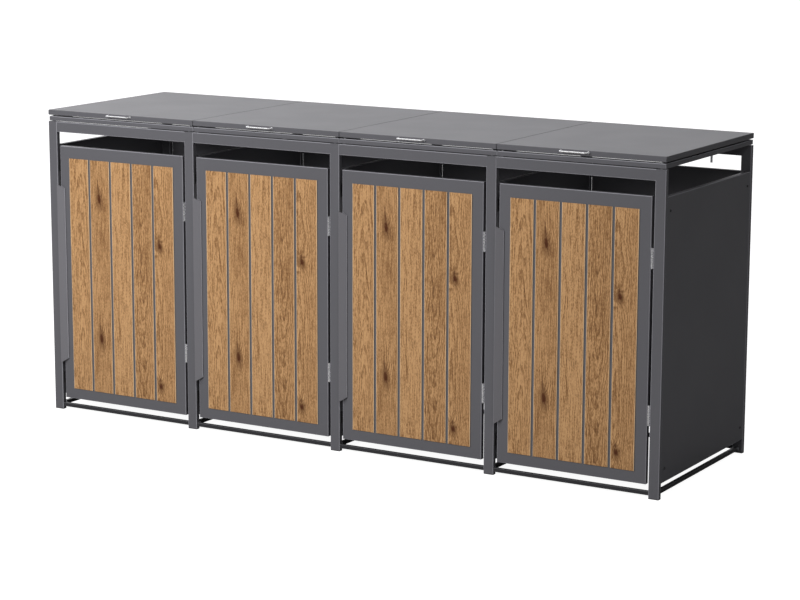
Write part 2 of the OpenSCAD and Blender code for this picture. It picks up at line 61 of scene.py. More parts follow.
class Tree:
    """Builds the node tree of a new material or world; most calls return an output socket."""

    def __init__(self, owner):
        owner.use_nodes = True
        self.owner = owner
        self.nodes = owner.node_tree.nodes
        self.links = owner.node_tree.links
        self.nodes.clear()

    def feed(self, socket, value):
        if isinstance(value, bpy.types.NodeSocket):
            self.links.new(value, socket)
        else:
            socket.default_value = value

    def place(self):
        """Where a point lies in the frame, carried along with its piece."""
        return self.nodes.new("ShaderNodeTexCoord").outputs["Object"]

    def stored(self, name, output="Vector"):
        node = self.nodes.new("ShaderNodeAttribute")
        node.attribute_name = name
        return node.outputs[output]

    def scaled(self, vector, by, offset=(0, 0, 0)):
        node = self.nodes.new("ShaderNodeMapping")
        self.feed(node.inputs["Vector"], vector)
        node.inputs["Scale"].default_value = by
        node.inputs["Location"].default_value = offset
        return node.outputs["Vector"]

    def noise(self, vector, scale=1.0, detail=2.0, rough=0.5, distortion=0.0):
        node = self.nodes.new("ShaderNodeTexNoise")
        self.feed(node.inputs["Vector"], vector)
        node.inputs["Scale"].default_value = scale
        node.inputs["Detail"].default_value = detail
        node.inputs["Roughness"].default_value = rough
        node.inputs["Distortion"].default_value = distortion
        return node.outputs["Fac"]

    def math(self, operation, *values, clamp=False):
        node = self.nodes.new("ShaderNodeMath")
        node.operation = operation
        node.use_clamp = clamp
        for socket, value in zip(node.inputs, values):
            self.feed(socket, value)
        return node.outputs[0]

    def split(self, vector):
        node = self.nodes.new("ShaderNodeSeparateXYZ")
        self.feed(node.inputs[0], vector)
        return node.outputs

    def join(self, x, y, z):
        node = self.nodes.new("ShaderNodeCombineXYZ")
        for socket, value in zip(node.inputs, (x, y, z)):
            self.feed(socket, value)
        return node.outputs[0]

    def span(self, value, low, high, to_low=0.0, to_high=1.0):
        """Maps low..high to to_low..to_high, smoothly and held at both ends."""
        node = self.nodes.new("ShaderNodeMapRange")
        node.interpolation_type = "SMOOTHSTEP"
        for socket, v in zip(node.inputs, (value, low, high, to_low, to_high)):
            self.feed(socket, v)
        return node.outputs[0]

    def mix(self, share, a, b):
        """Mixes two colours."""
        node = self.nodes.new("ShaderNodeMix")
        node.data_type = "RGBA"
        self.feed(node.inputs[0], share)
        for socket, colour in ((node.inputs[6], a), (node.inputs[7], b)):
            self.feed(socket, (*colour, 1.0) if isinstance(colour, tuple) else colour)
        return node.outputs[2]

    def bump(self, height, distance, strength=1.0, normal=None):
        node = self.nodes.new("ShaderNodeBump")
        self.feed(node.inputs["Height"], height)
        node.inputs["Distance"].default_value = distance
        node.inputs["Strength"].default_value = strength
        if normal is not None:
            self.feed(node.inputs["Normal"], normal)
        return node.outputs[0]

    def surface(self, colour, roughness, normal=None, metallic=0.0, **more):
        """Ends a material with its shader, and returns the material."""
        node = self.nodes.new("ShaderNodeBsdfPrincipled")
        self.feed(node.inputs["Base Color"], (*colour, 1.0) if isinstance(colour, tuple) else colour)
        self.feed(node.inputs["Roughness"], roughness)
        node.inputs["Metallic"].default_value = metallic
        if normal is not None:
            self.feed(node.inputs["Normal"], normal)
        for name, value in more.items():
            self.feed(node.inputs[name.replace("_", " ")], value)
        out = self.nodes.new("ShaderNodeOutputMaterial")
        self.links.new(node.outputs[0], out.inputs["Surface"])
        return self.owner


def material_tree(name):
    return Tree(bpy.data.materials.new(name))


# ---- Materials ----


# Painted highlight: how much lighter than the coat its rounded corners and bends are painted
EDGE_HIGHLIGHT_LIFT = 2.7


def powder_coat(name, light, dark, rough=0.42, gloss=0.35):
    """Fine-textured powder coat: faint drift, tiny speckle, pebbles, and a painted highlight on rounded
    corners and bends.
    """
    t = material_tree(name)
    place = t.place()
    drift = t.noise(place, scale=1.1, detail=2)
    speckle = t.noise(place, scale=1500, detail=1)
    share = t.math("ADD", t.math("MULTIPLY", drift, 0.4), t.math("MULTIPLY", speckle, 0.6))
    colour = t.mix(t.span(share, 0.3, 0.7), dark, light)
    # Painted highlight: the stored edge share lightens the coat in rounded corners and bends
    colour = t.mix(t.stored("edge_highlight", "Fac"), colour, tuple(EDGE_HIGHLIGHT_LIFT * value for value in light))
    pebbles = t.noise(place, scale=1100, detail=2, rough=0.55)
    peel = t.noise(place, scale=260, detail=2)
    normal = t.bump(pebbles, 0.022 * MM, strength=0.8, normal=t.bump(peel, 0.04 * MM, strength=0.5))
    roughness = t.span(t.noise(place, scale=5, detail=3), 0.3, 0.7, rough - 0.01, rough + 0.014)
    return t.surface(colour, roughness, normal, Specular_IOR_Level=gloss)


def plated_steel(name, light, dark, rough, along=(1, 1, 1)):
    """Bare or plated steel: metal with fine brushed or crystalline variation."""
    t = material_tree(name)
    brushed = t.noise(t.scaled(t.place(), along), scale=260, detail=3, rough=0.6)
    stain = t.noise(t.place(), scale=30, detail=3)
    share = t.math("ADD", t.math("MULTIPLY", brushed, 0.5), t.math("MULTIPLY", stain, 0.5))
    colour = t.mix(t.span(share, 0.35, 0.65), dark, light)
    roughness = t.span(brushed, 0.3, 0.7, rough - 0.06, rough + 0.08)
    return t.surface(colour, roughness, metallic=1.0)


def moulded(name, light, dark, rough, grain):
    """Moulded plastic, rubber or black oxide with a fine grain."""
    t = material_tree(name)
    place = t.place()
    colour = t.mix(t.span(t.noise(place, scale=60, detail=3), 0.3, 0.7), dark, light)
    fine = t.noise(place, scale=grain, detail=2)
    return t.surface(colour, t.span(fine, 0.3, 0.7, rough - 0.07, rough + 0.07))


# Figure of each plank as cut from the trunk, in metres: where the trunk's middle lies across the
# plank, how deep it lies at mid height, how much that depth changes along the plank, how far it
# wavers, the spacing of the rings, and how much darker the plank is than its neighbours
FIGURES = {
    1: (0.004, 0.034, 0.050, 0.012, 0.0056, 0.00),
    2: (-0.075, 0.030, 0.006, 0.007, 0.0058, 0.07),
    3: (0.200, 0.030, 0.000, 0.004, 0.0062, -0.04),
    4: (-0.006, 0.028, -0.060, 0.013, 0.0056, 0.08),
    5: (-0.030, 0.026, 0.030, 0.015, 0.0058, 0.05),
}
# Knots: share of the plank's width and of its length from the top, half length, share of that
# which is the half width, and the length of the dark crack above, in metres
KNOTS = {
    2: ((0.47, 0.162, 0.027, 0.36, 0.042), (0.45, 0.765, 0.027, 0.36, 0.042)),
    5: ((0.27, 0.338, 0.016, 0.62, 0.014), (0.24, 0.936, 0.016, 0.62, 0.014)),
}
KNOT_BULGE = 22 * MM
WOOD_LIGHT = (0.376, 0.217, 0.099)
WOOD_MID = (0.202, 0.104, 0.042)
WOOD_DARK = (0.080, 0.033, 0.012)
WOOD_PORE = (0.060, 0.024, 0.010)
WOOD_KNOT = (0.044, 0.010, 0.002)
# Painted highlight: the light colour of the band along each plank's long edges
WOOD_EDGE_HIGHLIGHT = (0.600, 0.430, 0.265)


def oak(plank, width, length):
    """Oiled oak: rings cut from a trunk flow round the knots, with pores as short dark strokes."""
    t = material_tree(f"oak_plank_{plank}")
    across, _, up = t.split(t.stored("grain"))
    seed = 7.3 * plank
    middle, depth, rise, waver, spacing, tint = FIGURES[plank]

    def blotch(per_across, per_up, detail=2.0, salt=0.0):
        at = t.join(t.math("MULTIPLY", across, per_across), seed + salt, t.math("MULTIPLY", up, per_up))
        return t.noise(at, detail=detail, rough=0.6)

    def centred(value, by):
        return t.math("MULTIPLY", t.math("SUBTRACT", value, 0.5), by)

    # Knots bulge the rings, with a dark ragged heart, a brown halo and a crack above
    bulge, heart, halo = 0.0, 0.0, 0.0
    rag = centred(blotch(170, 90, detail=4, salt=3.3), 1.7)
    for x_share, top_share, half, slim, crack in KNOTS.get(plank, ()):
        dx = t.math("SUBTRACT", across, (x_share - 0.5) * width)
        dz = t.math("SUBTRACT", up, (0.5 - top_share) * length)
        dx = t.math("ADD", dx, t.math("MULTIPLY", dz, 0.10))
        wide = t.math("POWER", t.math("DIVIDE", dx, half * slim), 2.0)
        far = t.math("ADD", wide, t.math("POWER", t.math("DIVIDE", dz, half), 2.0))
        spread = t.math("ADD", 1.0, t.math("MULTIPLY", far, 0.35))
        bulge = t.math("ADD", bulge, t.math("DIVIDE", KNOT_BULGE, spread))
        ragged = t.math("ADD", far, rag)
        heart = t.math("MAXIMUM", heart, t.span(ragged, 1.0, 0.1))
        halo = t.math("MAXIMUM", halo, t.span(ragged, 5.5, 0.6))
        above = t.math("DIVIDE", t.math("SUBTRACT", dz, half + crack * 0.5), crack * 0.8)
        slit = t.math("ADD", t.math("POWER", above, 2.0), t.math("MULTIPLY", wide, 9.0))
        crack_mask = t.span(t.math("ADD", slit, rag), 1.2, 0.2)
        heart = t.math("MAXIMUM", heart, t.math("MULTIPLY", crack_mask, 0.75))

    # Distance from the trunk's middle, which wavers along the plank, gives the rings
    wander = centred(blotch(5, 3.2, detail=2, salt=1.0), 0.050)
    swirl = centred(blotch(26, 7.5, detail=3, salt=5.0), waver)
    sunk = t.math("ADD", t.math("ADD", depth, t.math("MULTIPLY", up, rise / length)), swirl)
    side = t.math("ADD", t.math("SUBTRACT", across, middle), wander)
    radius = t.math("SQRT", t.math("ADD", t.math("POWER", side, 2.0), t.math("POWER", sunk, 2.0)))
    ring = t.math("FRACT", t.math("DIVIDE", t.math("ADD", radius, bulge), spacing))
    early = t.span(ring, 0.35, 0.95)
    early = t.math("MULTIPLY", early, t.span(ring, 1.0, 0.93))

    # Fibres and pores follow the rings
    lane = t.math("ADD", across, t.math("MULTIPLY", radius, 0.35))

    def fibre(per_lane, per_up, detail=2.0, salt=0.0):
        at = t.join(t.math("MULTIPLY", lane, per_lane), seed + salt, t.math("MULTIPLY", up, per_up))
        return t.noise(at, detail=detail, rough=0.6)

    strands = fibre(230, 4.0, detail=4, salt=2.1)
    hairs = fibre(400, 17.0, detail=2, salt=4.7)
    flecks = fibre(420, 120.0, detail=1, salt=8.2)
    strokes = t.span(fibre(240, 40.0, detail=2, salt=6.4), 0.57, 0.66)
    pores = t.math("MULTIPLY", strokes, t.span(early, 0.0, 0.5, 0.35, 1.0))
    patch = blotch(13, 4.6, detail=3, salt=9.0)

    tone = t.math("ADD", 0.22 + tint, t.math("MULTIPLY", early, 0.24))
    for grain, share in ((strands, 0.72), (hairs, 1.15), (flecks, 0.95), (patch, 0.36)):
        tone = t.math("ADD", tone, centred(grain, share))
    colour = t.mix(t.span(tone, 0.12, 0.48), WOOD_LIGHT, WOOD_MID)
    colour = t.mix(t.math("MULTIPLY", t.span(tone, 0.42, 0.80), 0.75), colour, WOOD_DARK)
    colour = t.mix(t.math("MULTIPLY", pores, 0.50), colour, WOOD_PORE)
    colour = t.mix(t.math("MULTIPLY", halo, 0.60), colour, WOOD_DARK)
    colour = t.mix(t.math("MULTIPLY", heart, 0.93), colour, WOOD_KNOT)
    # Painted highlight: a lighter band along both long edges of each plank
    rim = t.span(t.math("ABSOLUTE", across), width / 2 - 2.6 * MM, width / 2 - 1.0 * MM)
    colour = t.mix(t.math("MULTIPLY", rim, 0.75), colour, WOOD_EDGE_HIGHLIGHT)

    dents = t.math("ADD", pores, t.math("MULTIPLY", heart, 0.8))
    height = t.math("SUBTRACT", t.math("MULTIPLY", strands, 0.5), dents)
    roughness = t.span(tone, 0.1, 0.8, 0.52, 0.68)
    relief = t.bump(height, 0.25 * MM, strength=0.7)
    return t.surface(colour, roughness, relief, Specular_IOR_Level=0.25)


COAT = powder_coat("anthracite_coat", (0.081, 0.080, 0.088), (0.071, 0.070, 0.077))
HINGE = plated_steel("hinge_plating", (0.95, 0.95, 0.96), (0.84, 0.84, 0.86), 0.22)
BRIGHT = plated_steel(
    "polished_stainless", (0.96, 0.96, 0.97), (0.88, 0.88, 0.89), 0.28, along=(0.06, 1, 1)
)
ZINC = plated_steel("zinc_plating", (0.66, 0.67, 0.69), (0.50, 0.51, 0.54), 0.38)
# Painted light: a lighter copy of the coat for the grips, standing in for the light their tilted lips
# catch
COAT_GRIP_LIT = powder_coat("anthracite_coat_grip_lit", (0.134, 0.132, 0.144), (0.120, 0.118, 0.129))
# Painted shade: a near-black copy of the coat for the floor rails, standing in for the shade under the
# station
COAT_FLOOR_SHADED = powder_coat("anthracite_coat_floor_shaded", (0.022, 0.022, 0.024), (0.018, 0.018, 0.020))
SCREW = moulded("black_oxide", (0.020, 0.020, 0.021), (0.012, 0.012, 0.013), 0.36, grain=700)
RUBBER = moulded("buffer_rubber", (0.022, 0.022, 0.022), (0.012, 0.012, 0.012), 0.72, grain=600)
PLASTIC = moulded("black_plastic", (0.030, 0.030, 0.031), (0.020, 0.020, 0.021), 0.48, grain=900)

SLOT_MATERIALS = {
    "anthracite_steel": COAT,
    "hinge_steel": HINGE,
    "bright_steel": BRIGHT,
    "zinc_steel": ZINC,
    "dark_screw": SCREW,
    "buffer_rubber": RUBBER,
    "black_plastic": PLASTIC,
}


# ---- Shapes: rings of points joined by faces ----


def quarter(x, y, radius, start, steps=4):
    """Points of a quarter turn about (x, y), anticlockwise from the angle start, in degrees."""
    angles = [math.radians(start + 90 * k / steps) for k in range(steps + 1)]
    return [(x + radius * math.cos(a), y + radius * math.sin(a)) for a in angles]


def outline(width, height, radius, inset=0.0):
    """A rectangle with rounded corners from (0, 0) to (width, height), drawn in by inset."""
    r = max(radius - inset, 0.2 * MM)
    near, right, top = inset + r, width - inset - r, height - inset - r
    corners = ((right, near, -90), (right, top, 0), (near, top, 90), (near, near, 180))
    return [point for x, y, start in corners for point in quarter(x, y, r, start)]


def lay(points, height, place):
    return [place @ Vector((x, y, height)) for x, y in points]


def skin(bm, rings, closed=False, caps=False):
    """Joins each ring to the next; closed joins the last to the first, and caps fills both ends."""
    rows = [[bm.verts.new(point) for point in ring] for ring in rings]
    for a, b in list(zip(rows, rows[1:])) + ([(rows[-1], rows[0])] if closed else []):
        for i in range(len(a)):
            j = (i + 1) % len(a)
            bm.faces.new((a[i], a[j], b[j], b[i]))
    if caps:
        bm.faces.new(rows[0][::-1])
        bm.faces.new(rows[-1])


def slab(bm, points, low, high, place, edge):
    """A flat plate with broken edges."""
    rows = [[bm.verts.new(point) for point in lay(points, z, place)] for z in (low, high)]
    faces = [bm.faces.new(rows[0][::-1]), bm.faces.new(rows[1])]
    for i in range(len(points)):
        j = (i + 1) % len(points)
        faces.append(bm.faces.new((rows[0][i], rows[0][j], rows[1][j], rows[1][i])))
    rims = list({rim for face in faces for rim in face.edges})
    bmesh.ops.bevel(bm, geom=rims, offset=edge, segments=2, profile=0.5, affect="EDGES")


def tray(bm, place, width, height, depth, sheet, bend, fold, corner):
    """A folded sheet tray, face down at z = 0, with four mitred folds turned in at its open side."""
    lip, mitre = bend + 0.6 * MM, 0.35 * MM
    section = [
        *reversed(quarter(bend, bend, bend, 180)),
        *reversed(quarter(bend, depth - bend, bend, 90)),
        (lip, depth),
        (lip, depth - sheet),
        *quarter(bend, depth - bend, bend - sheet, 90),
        *quarter(bend, bend, bend - sheet, 180),
    ]
    skin(bm, [lay(outline(width, height, corner, inset), z, place) for inset, z in section], caps=True)
    a, f, m = lip - 0.3 * MM, fold, mitre
    for w, h, turn in ((width, height, False), (height, width, True)):
        for near, far in ((a, f), (h - a, h - f)):
            flap = [(a + m, near), (w - a - m, near), (w - f - m, far), (f + m, far)]
            flap = [(y, x) for x, y in flap] if turn else flap
            slab(bm, flap, depth - sheet + 0.01 * MM, depth, place, 0.3 * MM)


def angle_rim(bm, place, width, height, depth, sheet, bend, flange, corner):
    """An open rim of angle section, its flange at z = 0 and its skirt down to z = depth."""
    section = [
        (flange, 0.0),
        *reversed(quarter(bend, bend, bend, 180)),
        (0.0, depth),
        (sheet, depth),
        *quarter(bend, bend, bend - sheet, 180),
        (flange, sheet),
    ]
    skin(bm, [lay(outline(width, height, corner, inset), z, place) for inset, z in section], closed=True)


def folded_sheet(bm, outer, inner, ends, place):
    """A folded sheet: matching points on both faces of its section, run between ends(x)."""
    rows = {}
    for k in (0, 1):
        for face, points in (("outer", outer), ("inner", inner)):
            rows[face, k] = [bm.verts.new(place @ Vector((x, y, ends(x)[k]))) for x, y in points]
    walls = (
        ("outer", 0, "outer", 1),
        ("inner", 0, "inner", 1),
        ("outer", 0, "inner", 0),
        ("outer", 1, "inner", 1),
    )
    for face_a, end_a, face_b, end_b in walls:
        a, b = rows[face_a, end_a], rows[face_b, end_b]
        for i in range(len(a) - 1):
            bm.faces.new((a[i], a[i + 1], b[i + 1], b[i]))
    for i in (0, -1):
        corners = (("outer", 0), ("outer", 1), ("inner", 1), ("inner", 0))
        bm.faces.new([rows[corner][i] for corner in corners])


def box_tube(bm, place, width, height, length, wall, corner, closed=False):
    """A box tube from z = 0 to z = length, open at both ends or closed at the far one."""
    outside, inside = outline(width, height, corner), outline(width, height, corner, wall)
    if closed:
        levels = ((inside, length - wall), (inside, 0), (outside, 0), (outside, length))
    else:
        levels = ((inside, length), (inside, 0), (outside, 0), (outside, length))
    skin(bm, [lay(points, z, place) for points, z in levels], closed=not closed, caps=closed)


def turned(bm, place, section, sides=24, socket=0.0):
    """A turned part about Z from (radius, z) pairs; the last ring may be a hexagon socket."""
    rings = []
    for k, (radius, z) in enumerate(section):
        ring = []
        for i in range(sides):
            angle = 2 * math.pi * i / sides
            reach = radius
            if socket and k >= len(section) - 2:
                reach = socket / math.cos(angle % (math.pi / 3) - math.pi / 6)
            ring.append((reach * math.cos(angle), reach * math.sin(angle)))
        rings.append(lay(ring, z, place))
    skin(bm, rings, caps=True)


def bent_rod(bm, path, radius, sides=20):
    """A round rod along a flat path that keeps one height."""
    rings = []
    for i, point in enumerate(path):
        before, after = path[max(i - 1, 0)], path[min(i + 1, len(path) - 1)]
        side = (after - before).normalized().cross(Vector((0, 0, 1)))
        ring = []
        for k in range(sides):
            angle = 2 * math.pi * k / sides
            ring.append(point + radius * (math.cos(angle) * side + math.sin(angle) * Vector((0, 0, 1))))
        rings.append(ring)
    skin(bm, rings, caps=True)


def axes(origin, x, y, z):
    """A placing matrix whose local axes point along x, y and z of the frame."""
    place = Matrix((x, y, z)).transposed().to_4x4()
    place.translation = origin
    return place


def facing_at(spot, direction):
    """A placing matrix at a spot whose local Z points along a direction."""
    return Matrix.Translation(spot) @ direction.to_track_quat("Z", "Y").to_matrix().to_4x4()


RIGHT, BACK, UP = Vector((1, 0, 0)), Vector((0, 1, 0)), Vector((0, 0, 1))


# ---- Pieces ----


def painted_edge_highlight(bm, share):
    """For each vertex, the share of painted highlight inside a rounded corner or bend, and 0 at its ends
    and on flat faces.
    """
    values = []
    for vertex in bm.verts:
        turns = [math.degrees(edge.calc_face_angle(0.0)) for edge in vertex.link_edges]
        values.append(share if any(16 < turn < 50 for turn in turns) else 0.0)
    return values


def piece_from(bm, name, body, material, replaced=None, edge=0.0, edge_highlight=1.0):
    """Turns a bmesh into a piece of the object that rides on a body."""
    bmesh.ops.recalc_face_normals(bm, faces=bm.faces[:])
    bm.normal_update()
    # Painted highlight: a share of lightening for each vertex in rounded corners and bends, stored on
    # the mesh
    values = painted_edge_highlight(bm, edge_highlight)
    mesh = bpy.data.meshes.new(name)
    bm.to_mesh(mesh)
    bm.free()
    mesh.attributes.new("edge_highlight", "FLOAT", "POINT").data.foreach_set("value", values)
    mesh.materials.append(material)
    mesh.shade_smooth()
    obj = bpy.data.objects.new(name, mesh)
    bpy.context.scene.collection.objects.link(obj)
    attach(obj, body)
    if replaced:
        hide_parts(replaced)
    break_edges(obj, edge)
    return obj


def break_edges(obj, width):
    if width:
        bevel = obj.modifiers.new("edges", "BEVEL")
        bevel.width = width
        bevel.segments = 2
        bevel.limit_method = "ANGLE"
        bevel.angle_limit = math.radians(50)
    obj.modifiers.new("normals", "WEIGHTED_NORMAL").keep_sharp = True


SHEET = 1.5 * MM
BEND = 2.4 * MM
TUBE_CORNER = 2.5 * MM
BODY = "frame"


def steel(bm, name, replaced, body=BODY, edge=0.35 * MM, material=None, edge_highlight=1.0):
    piece_from(bm, name, body, material or COAT, replaced, edge, edge_highlight)


def make_posts():
    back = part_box("back_posts")[1].y
    for k in POSTS:
        low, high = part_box(f"front_post_{k}")
        size = high - low
        rows = (("front", low.y, f"front_post_{k}"), ("back", back - size.y, "back_posts"))
        for side, y, node in rows:
            bm = bmesh.new()
            place = axes((low.x, y, low.z), RIGHT, BACK, UP)
            box_tube(bm, place, size.x, size.y, size.z, SHEET, TUBE_CORNER, closed=True)
            steel(bm, f"{side}_post_{k}_tube", node)


def bay_ends(bay):
    """Where a bay begins and ends along the row: the facing sides of its two posts."""
    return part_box(f"front_post_{bay}")[1].x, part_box(f"front_post_{bay + 1}")[0].x


def make_rails():
    """Rails along the row. A top rail starts with a fine seam and runs flush into the next post."""
    seam, tuck = 0.8 * MM, TUBE_CORNER + 0.35 * MM
    for node, name, corner in (
        ("top_rails", "top_rail", TUBE_CORNER),
        ("floor_rails_long", "floor_rail", 1.8 * MM),
    ):
        low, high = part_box(node)
        top = node == "top_rails"
        depth = POST.y if top else high.z - low.z
        for bay in BAYS:
            start, end = bay_ends(bay)
            start, end = (start + seam, end + tuck) if top else (start, end)
            for side, y in (("front", low.y), ("back", high.y - depth)):
                bm = bmesh.new()
                place = axes((start, y, low.z), BACK, UP, RIGHT)
                box_tube(bm, place, depth, high.z - low.z, end - start, SHEET, corner)
                # Floor rails take the near-black coat, which is painted shade
                steel(bm, f"{name}_{side}_{bay}", node, material=COAT if top else COAT_FLOOR_SHADED)


def make_side_floor_rails():
    low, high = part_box("floor_rails_side")
    side = high.z - low.z
    for k in POSTS:
        post_low, post_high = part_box(f"front_post_{k}")
        bm = bmesh.new()
        place = axes(((post_low.x + post_high.x - side) / 2, low.y, low.z), RIGHT, UP, BACK)
        box_tube(bm, place, side, side, high.y - low.y, SHEET, 1.8 * MM)
        # The side floor rails take the near-black coat, which is painted shade
        steel(bm, f"floor_rail_side_{k}", "floor_rails_side", material=COAT_FLOOR_SHADED)


def make_foot_caps():
    """Moulded caps with a chamfered foot, pressed into the posts."""
    low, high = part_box("foot_caps")
    play = 0.2 * MM
    bm = bmesh.new()
    for k in POSTS:
        post_low, post_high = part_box(f"front_post_{k}")
        width, depth = post_high.x - post_low.x, post_high.y - post_low.y
        for y in (low.y, high.y - depth):
            place = axes((post_low.x, y, low.z), RIGHT, BACK, UP)
            sole = post_low.z - low.z
            plug = SHEET + play
            levels = ((1.0 * MM, 0), (0, 1.0 * MM), (0, sole), (plug, sole), (plug, high.z - low.z))
            rings = [lay(outline(width, depth, TUBE_CORNER, i), z, place) for i, z in levels]
            skin(bm, rings, caps=True)
    piece_from(bm, "foot_cap_mouldings", BODY, PLASTIC, "foot_caps", 0.25 * MM)


def channel(height, fold, sheet=SHEET, bend=BEND):
    """Section of a sheet with a fold at each end, in (depth behind the face, height)."""
    inner = bend - sheet
    outside = [(fold, 0), *reversed(quarter(bend, bend, bend, 180))]
    outside += [*reversed(quarter(bend, height - bend, bend, 90)), (fold, height)]
    inside = [(fold, sheet), *reversed(quarter(bend, bend, inner, 180))]
    inside += [*reversed(quarter(bend, height - bend, inner, 90)), (fold, height - sheet)]
    return outside, inside


def make_panels():
    sides = {"side_panel_left": -1, "side_panel_right": 1}
    sides.update({f"partition_panel_{k}": 1 for k in PARTITIONS})
    for node, facing in sides.items():
        low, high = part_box(node)
        outside, inside = channel(high.z - low.z, high.x - low.x)
        face = high.x if facing > 0 else low.x
        place = axes((face, low.y, low.z), -facing * RIGHT, UP, BACK)
        bm = bmesh.new()
        folded_sheet(bm, outside, inside, lambda _: (0, high.y - low.y), place)
        steel(bm, f"{node}_sheet", node)
    for bay in BAYS:
        node = f"back_panel_{bay}"
        low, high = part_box(node)
        outside, inside = channel(high.z - low.z, high.y - low.y)
        bm = bmesh.new()
        place = axes((low.x, high.y, low.z), -BACK, UP, RIGHT)
        folded_sheet(bm, outside, inside, lambda _: (0, high.x - low.x), place)
        steel(bm, f"{node}_sheet", node)


def head(bm, place, radius, height, socket, shank=None):
    """A button head with a hexagon socket, on its shank if that shows."""
    section = [shank or (radius * 0.9, 0.0)]
    if shank:
        section.append((shank[0], 0.0))
    section += [(radius, 0.0), (radius, 0.18 * height), (0.93 * radius, 0.50 * height)]
    section += [(0.80 * radius, 0.78 * height), (0.62 * radius, height)]
    section += [(socket, height), (socket, 0.35 * height)]
    turned(bm, place, section, socket=socket)


def make_panel_screws():
    """Button-head screws near the corners of every outer sheet and partition."""
    across, rise = 25.5 * MM, 50 * MM
    radius, tall, socket, shank = 5.5 * MM, 2.5 * MM, 1.9 * MM, (2.6 * MM, -10 * MM)
    bm = bmesh.new()

    def screws(spots, face):
        for spot in spots:
            head(bm, facing_at(spot, face), radius, tall, socket, shank)

    for node in ["side_panel_left", "side_panel_right"] + [f"partition_panel_{k}" for k in PARTITIONS]:
        low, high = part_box(node)
        left = node == "side_panel_left"
        spots = [(low.x if left else high.x, y, z) for y in (low.y + across, high.y - across)
                 for z in (low.z + rise, high.z - rise)]
        screws(spots, -RIGHT if left else RIGHT)
    for bay in BAYS:
        low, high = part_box(f"back_panel_{bay}")
        spots = [(x, high.y, z) for x in (low.x + across, high.x - across)
                 for z in (low.z + rise, high.z - rise)]
        screws(spots, BACK)
    piece_from(bm, "panel_screw_heads", BODY, SCREW, "panel_screws")


def make_roof_frames():
    """Open rims of angle section on spacer sleeves, one at each post."""
    sheet, flange, sleeve, hang = 2 * MM, 28 * MM, 7 * MM, 17 * MM
    front, rear = 8 * MM, 11 * MM
    for bay in BAYS:
        node = f"roof_frame_{bay}"
        low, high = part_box(node)
        size = high - low
        bm = bmesh.new()
        place = axes((low.x, low.y, high.z), RIGHT, BACK, -UP)
        angle_rim(bm, place, size.x, size.y, hang, sheet, bend=2.6 * MM, flange=flange, corner=1.6 * MM)
        start, end = bay_ends(bay)
        left = start - POST.x / 2 if bay == 1 else start + POST.x / 2
        bolts = [(x, y) for x in (left, end + POST.x / 2) for y in (low.y + front, high.y - rear)]
        for x, y in bolts:
            foot = axes((x, y, low.z), RIGHT, BACK, UP)
            turned(bm, foot, [(sleeve, 0), (sleeve, size.z - sheet / 2)])
        steel(bm, f"{node}_rim", node)


def make_lids():
    for bay in BAYS:
        node = f"lid_shell_{bay}"
        low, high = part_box(node)
        size = high - low
        bm = bmesh.new()
        place = axes((low.x, low.y, high.z), RIGHT, BACK, -UP)
        tray(bm, place, size.x, size.y, size.z, SHEET, BEND, fold=24 * MM, corner=2.0 * MM)
        steel(bm, f"{node}_tray", node, f"lid_{bay}", edge_highlight=0.0)


def make_lid_handles():
    """Bow handles of round bar, each leg on a small rose."""
    radius, bend, rose = 2.9 * MM, 7.5 * MM, 4.4 * MM
    for bay in BAYS:
        node = f"lid_handle_{bay}"
        low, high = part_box(node)
        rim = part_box(f"lid_shell_{bay}")[0].y
        z = (low.z + high.z) / 2
        x0, x1 = low.x + rose, high.x - rose
        bar = low.y + radius
        corner = [Vector((x0 + bend + dx, bar + bend + dy, z)) for dx, dy in quarter(0, 0, bend, 180, 6)]
        path = [Vector((x0, rim, z)), *corner]
        middle = (x0 + x1) / 2
        path += [Vector((2 * middle - p.x, p.y, p.z)) for p in reversed(path)]
        bm = bmesh.new()
        bent_rod(bm, path, radius)
        for x in (x0, x1):
            place = axes((x, rim, z), RIGHT, UP, -BACK)
            section = [(rose, 0), (rose, 0.4 * MM), (rose - 0.4 * MM, 0.9 * MM), (radius, 1.0 * MM)]
            turned(bm, place, section)
            turned(bm, place, [(rose, -4 * MM), (rose, -SHEET)])
        piece_from(bm, f"{node}_bow", f"lid_{bay}", BRIGHT, node, 0.2 * MM)


def make_door_shells():
    for bay in BAYS:
        node = f"door_shell_{bay}"
        low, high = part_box(node)
        size = high - low
        bm = bmesh.new()
        place = axes(low, RIGHT, UP, BACK)
        tray(bm, place, size.x, size.z, size.y, SHEET, BEND, fold=25 * MM, corner=1.6 * MM)
        steel(bm, f"{node}_tray", node, f"door_{bay}")


def grip_section():
    """Outer and inner points of a grip's section seen from above, from its flange to its lip.

    x runs right from the door's edge and y back from its face.
    """
    flange_edge, root, over, out, bend = 1.5 * MM, 21.5 * MM, 4 * MM, 21 * MM, 2.4 * MM
    fold = Vector((root + 4.7 * MM, 0.0))
    lip = Vector((-over, -out))
    along = (lip - fold).normalized()
    angle = math.atan2(-along.y, -along.x)
    centre = fold + bend * Vector((-1 / math.tan(angle / 2), -1))
    turns = [math.pi / 2 - (math.pi - angle) * k / 8 for k in range(9)]
    round_it = [Vector((math.cos(a), math.sin(a))) for a in turns]
    outer = [Vector((flange_edge, 0)), *[centre + bend * r for r in round_it], lip]
    inner = [Vector((flange_edge, -SHEET)), *[centre + (bend - SHEET) * r for r in round_it]]
    inner.append(lip + SHEET * Vector((along.y, -along.x)))
    return outer, inner


